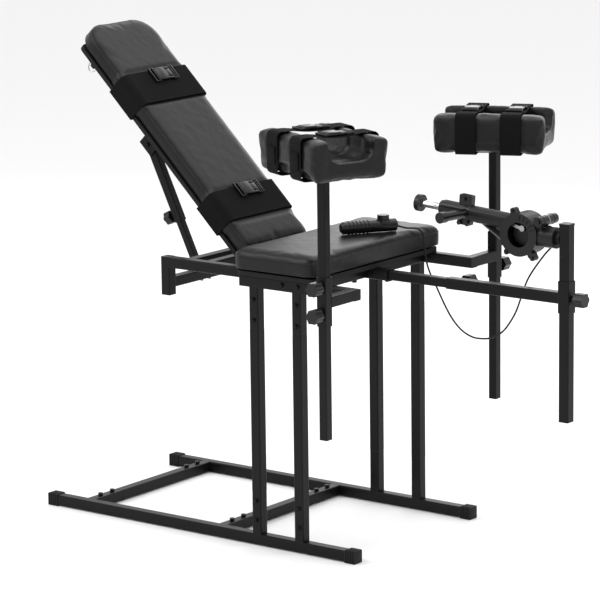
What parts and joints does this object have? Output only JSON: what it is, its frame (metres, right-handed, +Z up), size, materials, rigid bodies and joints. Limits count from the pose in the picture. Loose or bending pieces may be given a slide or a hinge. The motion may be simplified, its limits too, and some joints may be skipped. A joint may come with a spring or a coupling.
{
  "type": "reclining padded chair",
  "caption": "Padded chair on a tube frame with a reclining strapped backrest, two swivelling leg troughs on posts and a reciprocating drive on a beam.",
  "frame": {"origin": "middle of the footprint's bounding box, on the floor", "axes": "+X from the backrest towards the drive, -Y the sitter's right, +Z up"},
  "size_m": [1.6228, 1.1112, 1.3563],
  "materials": {
    "powder_coat": "satin black powder coat",
    "leatherette": "soft sheen, fine grain",
    "webbing": "matt woven",
    "black_plastic": "semi gloss moulded",
    "black_rubber": "matt",
    "black_board": "painted board",
    "bright_steel": "zinc plated",
    "chrome": "polished",
    "black_aluminium": "black cast"
  },
  "bodies": {
    "frame": {"base_rail_r": "powder_coat", "base_rail_l": "powder_coat", "rail_cap_rear_r": "black_rubber", "rail_cap_rear_l": "black_rubber", "rail_cap_front_r": "black_rubber", "rail_cap_front_l": "black_rubber", "crossbar_rear": "powder_coat", "crossbar_mid": "powder_coat", "riser_rear_r": "powder_coat", "riser_front_r": "powder_coat", "riser_rear_l": "powder_coat", "riser_front_l": "powder_coat", "side_frame_r": "powder_coat", "side_frame_l": "powder_coat", "seat_front_member": "powder_coat", "seat_rear_member": "powder_coat", "rear_frame": "powder_coat", "seat_board": "black_board", "seat_cushion": "leatherette", "hinge_pin": "bright_steel", "leg_arm_r": "powder_coat", "leg_arm_l": "powder_coat", "beam_inner": "powder_coat", "handset_body": "black_plastic", "cord_seat_run": "black_rubber"},
    "backrest": {"hinge_leaf": "powder_coat", "strut_bracket": "powder_coat", "backrest_board": "black_board", "backrest_cushion": "leatherette", "back_strap_lower": "webbing", "back_strap_upper": "webbing"},
    "ring": {"d_ring": "bright_steel"},
    "strut_foot": {"strut_lower": "powder_coat"},
    "strut_tube": {"strut_upper": "powder_coat"},
    "strut_lock": {"strut_knob": "black_plastic"},
    "drive_beam": {"drive_beam": "powder_coat"},
    "beam_lock": {"beam_knob": "black_plastic"},
    "post_lock": {"post_knob": "black_plastic"},
    "drive_post": {"drive_post": "powder_coat", "cord_drive_run": "black_rubber"},
    "drive_unit": {"gear_housing": "black_aluminium", "housing_cover": "black_plastic", "nose_clamp": "black_plastic", "hub": "black_aluminium", "motor_can": "black_plastic"},
    "crank": {"crank_disc": "bright_steel"},
    "rod": {"thrust_rod": "chrome", "connector_disc": "black_plastic"},
    "conrod": {"connecting_rod": "bright_steel"},
    "dial": {"handset_knob": "black_plastic"},
    "leg_post_r": {"leg_post_r": "powder_coat"},
    "pad_r": {"pad_plate_r": "powder_coat", "leg_pad_r": "leatherette"},
    "leg_lock_upper_r": {"leg_knob_upper_r": "black_plastic"},
    "leg_lock_lower_r": {"leg_knob_lower_r": "black_plastic"},
    "leg_post_l": {"leg_post_l": "powder_coat"},
    "pad_l": {"pad_plate_l": "powder_coat", "leg_pad_l": "leatherette"},
    "leg_lock_upper_l": {"leg_knob_upper_l": "black_plastic"},
    "leg_lock_lower_l": {"leg_knob_lower_l": "black_plastic"}
  },
  "joints": [
    {"name": "backrest_recline", "type": "hinge", "parent": "frame", "child": "backrest", "pos_m": [-0.1874, 0, 0.7535], "axis": [0, -1, 0], "range_deg": [0, 28]},
    {"name": "strut_pivot", "type": "hinge", "parent": "frame", "child": "strut_foot", "pos_m": [-0.4694, 0, 0.662], "axis": [0, -1, 0], "range_deg": [-1, 40]},
    {"name": "strut_slide", "type": "slide", "parent": "strut_foot", "child": "strut_tube", "axis": [-0.433, 0, 0.9014], "range_m": [-0.13, 0.002]},
    {"name": "strut_knob_turn", "type": "hinge", "parent": "strut_tube", "child": "strut_lock", "pos_m": [-0.55944, 0, 0.82059], "axis": [-0.9014, 0, -0.433], "continuous": true},
    {"name": "ring_swing", "type": "hinge", "parent": "backrest", "child": "ring", "pos_m": [-0.73886, -0.13, 1.24676], "axis": [-0.712, 0, 0.7021], "range_deg": [-60, 60]},
    {"name": "beam_slide", "type": "slide", "parent": "frame", "child": "drive_beam", "axis": [1, 0, 0], "range_m": [-0.15, 0.07]},
    {"name": "beam_knob_turn", "type": "hinge", "parent": "drive_beam", "child": "beam_lock", "pos_m": [0.4166, 0.015, 0.731], "axis": [0, 1, 0], "continuous": true},
    {"name": "post_knob_turn", "type": "hinge", "parent": "drive_beam", "child": "post_lock", "pos_m": [0.7709, 0, 0.73], "axis": [1, 0, 0], "continuous": true},
    {"name": "post_slide", "type": "slide", "parent": "drive_beam", "child": "drive_post", "axis": [0, 0, 1], "range_m": [-0.06, 0.12]},
    {"name": "drive_tilt", "type": "hinge", "parent": "drive_post", "child": "drive_unit", "pos_m": [0.6801, 0, 0.887], "axis": [1, 0, 0], "range_deg": [-15, 15]},
    {"name": "crank_spin", "type": "hinge", "parent": "drive_unit", "child": "crank", "pos_m": [0.6216, 0, 0.889], "axis": [0, 1, 0], "continuous": true},
    {"name": "rod_slide", "type": "slide", "parent": "drive_unit", "child": "rod", "axis": [0.997, 0, -0.0771], "range_m": [-0.0118, 0.0209]},
    {"name": "conrod_swing", "type": "hinge", "parent": "rod", "child": "conrod", "pos_m": [0.56227, 0, 0.91759], "axis": [0, 1, 0], "range_deg": [0, 30]},
    {"name": "dial_turn", "type": "hinge", "parent": "frame", "child": "dial", "pos_m": [0.08691, 0.11044, 0.858], "axis": [0, 0, 1], "range_deg": [0, 270]},
    {"name": "leg_post_slide_r", "type": "slide", "parent": "frame", "child": "leg_post_r", "axis": [0, 0, 1], "range_m": [-0.2, 0.25]},
    {"name": "pad_turn_r", "type": "hinge", "parent": "leg_post_r", "child": "pad_r", "pos_m": [0.2626, -0.395, 1.07], "axis": [0, 0, 1], "range_deg": [-36, 60]},
    {"name": "leg_knob_upper_turn_r", "type": "hinge", "parent": "frame", "child": "leg_lock_upper_r", "pos_m": [0.2626, -0.41, 0.772], "axis": [0, -1, 0], "continuous": true},
    {"name": "leg_knob_lower_turn_r", "type": "hinge", "parent": "frame", "child": "leg_lock_lower_r", "pos_m": [0.2626, -0.41, 0.7], "axis": [0, -1, 0], "continuous": true},
    {"name": "leg_post_slide_l", "type": "slide", "parent": "frame", "child": "leg_post_l", "axis": [0, 0, 1], "range_m": [-0.16, 0.29]},
    {"name": "pad_turn_l", "type": "hinge", "parent": "leg_post_l", "child": "pad_l", "pos_m": [0.2626, 0.395, 1.028], "axis": [0, 0, 1], "range_deg": [-60, 36]},
    {"name": "leg_knob_upper_turn_l", "type": "hinge", "parent": "frame", "child": "leg_lock_upper_l", "pos_m": [0.2626, 0.41, 0.772], "axis": [0, 1, 0], "continuous": true},
    {"name": "leg_knob_lower_turn_l", "type": "hinge", "parent": "frame", "child": "leg_lock_lower_l", "pos_m": [0.2626, 0.41, 0.7], "axis": [0, 1, 0], "continuous": true}
  ],
  "couplings": [
    {"joint": "strut_pivot", "follows": "backrest_recline", "ratio": 1.4086},
    {"joint": "strut_slide", "follows": "backrest_recline", "m_per_rad": -0.2617}
  ]
}
